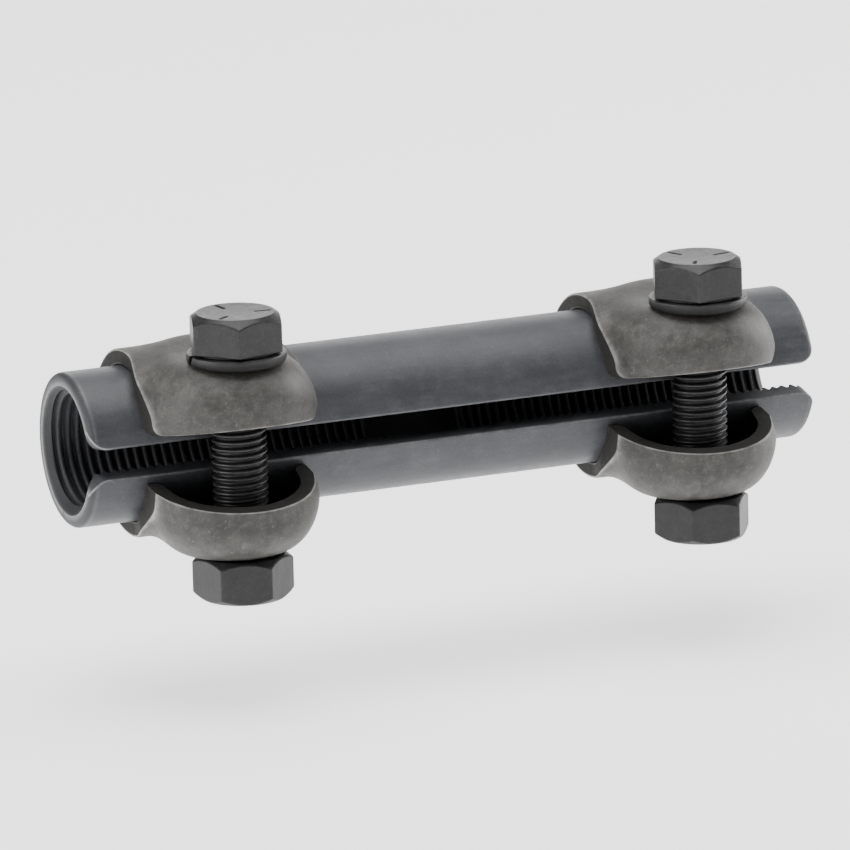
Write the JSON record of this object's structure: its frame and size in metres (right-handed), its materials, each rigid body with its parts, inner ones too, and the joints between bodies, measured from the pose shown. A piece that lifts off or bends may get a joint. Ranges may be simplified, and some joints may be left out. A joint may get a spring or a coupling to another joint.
{
  "type": "rigid sleeve coupling",
  "caption": "Slit steel sleeve threaded inside from both ends, with a bolted pinch clamp near each end that closes it on the threads of two rods.",
  "frame": {"origin": "on the tube's axis where the left thread starts, 1.43 mm inside the left mouth", "axes": "+X along the tube from the left-hand thread to the right-hand thread, -Y the side with the slit, ears and bolts, +Z towards the bolt heads"},
  "size_m": [0.113, 0.0376, 0.0415],
  "materials": {
    "tube_steel": "satin blue-grey phosphate",
    "clamp_steel": "matt mottled phosphate",
    "fastener_steel": "black oxide"
  },
  "bodies": {
    "sleeve": {"sleeve_tube": "tube_steel"},
    "left_clamp": {"left_clamp": "clamp_steel"},
    "left_bolt": {"left_bolt": "fastener_steel"},
    "left_lock_washer": {"left_lock_washer": "fastener_steel"},
    "left_nut": {"left_nut": "fastener_steel"},
    "right_clamp": {"right_clamp": "clamp_steel"},
    "right_bolt": {"right_bolt": "fastener_steel"},
    "right_lock_washer": {"right_lock_washer": "fastener_steel"},
    "right_nut": {"right_nut": "fastener_steel"}
  },
  "joints": [
    {"name": "left_clamp_turn", "type": "hinge", "parent": "sleeve", "child": "left_clamp", "pos_m": [0.01912, 0, 0], "axis": [1, 0, 0], "continuous": true},
    {"name": "left_bolt_turn", "type": "hinge", "parent": "left_clamp", "child": "left_bolt", "pos_m": [0.01912, -0.01555, 0.0175], "axis": [0, 0, 1], "range_deg": [0, 1800]},
    {"name": "left_washer_turn", "type": "hinge", "parent": "left_clamp", "child": "left_lock_washer", "pos_m": [0.01912, -0.01555, 0.0148], "axis": [0, 0, 1], "continuous": true},
    {"name": "left_nut_travel", "type": "slide", "parent": "left_clamp", "child": "left_nut", "axis": [0, 0, -1], "range_m": [0, 0.0053]},
    {"name": "right_clamp_turn", "type": "hinge", "parent": "sleeve", "child": "right_clamp", "pos_m": [0.09077, 0, 0], "axis": [1, 0, 0], "continuous": true},
    {"name": "right_bolt_turn", "type": "hinge", "parent": "right_clamp", "child": "right_bolt", "pos_m": [0.09077, -0.01555, 0.0175], "axis": [0, 0, 1], "range_deg": [0, 1800]},
    {"name": "right_washer_turn", "type": "hinge", "parent": "right_clamp", "child": "right_lock_washer", "pos_m": [0.09077, -0.01555, 0.0148], "axis": [0, 0, 1], "continuous": true},
    {"name": "right_nut_travel", "type": "slide", "parent": "right_clamp", "child": "right_nut", "axis": [0, 0, -1], "range_m": [0, 0.0053]}
  ],
  "couplings": [
    {"joint": "left_nut_travel", "follows": "left_bolt_turn", "m_per_rad": 0.00016844},
    {"joint": "right_nut_travel", "follows": "right_bolt_turn", "m_per_rad": 0.00016844}
  ]
}
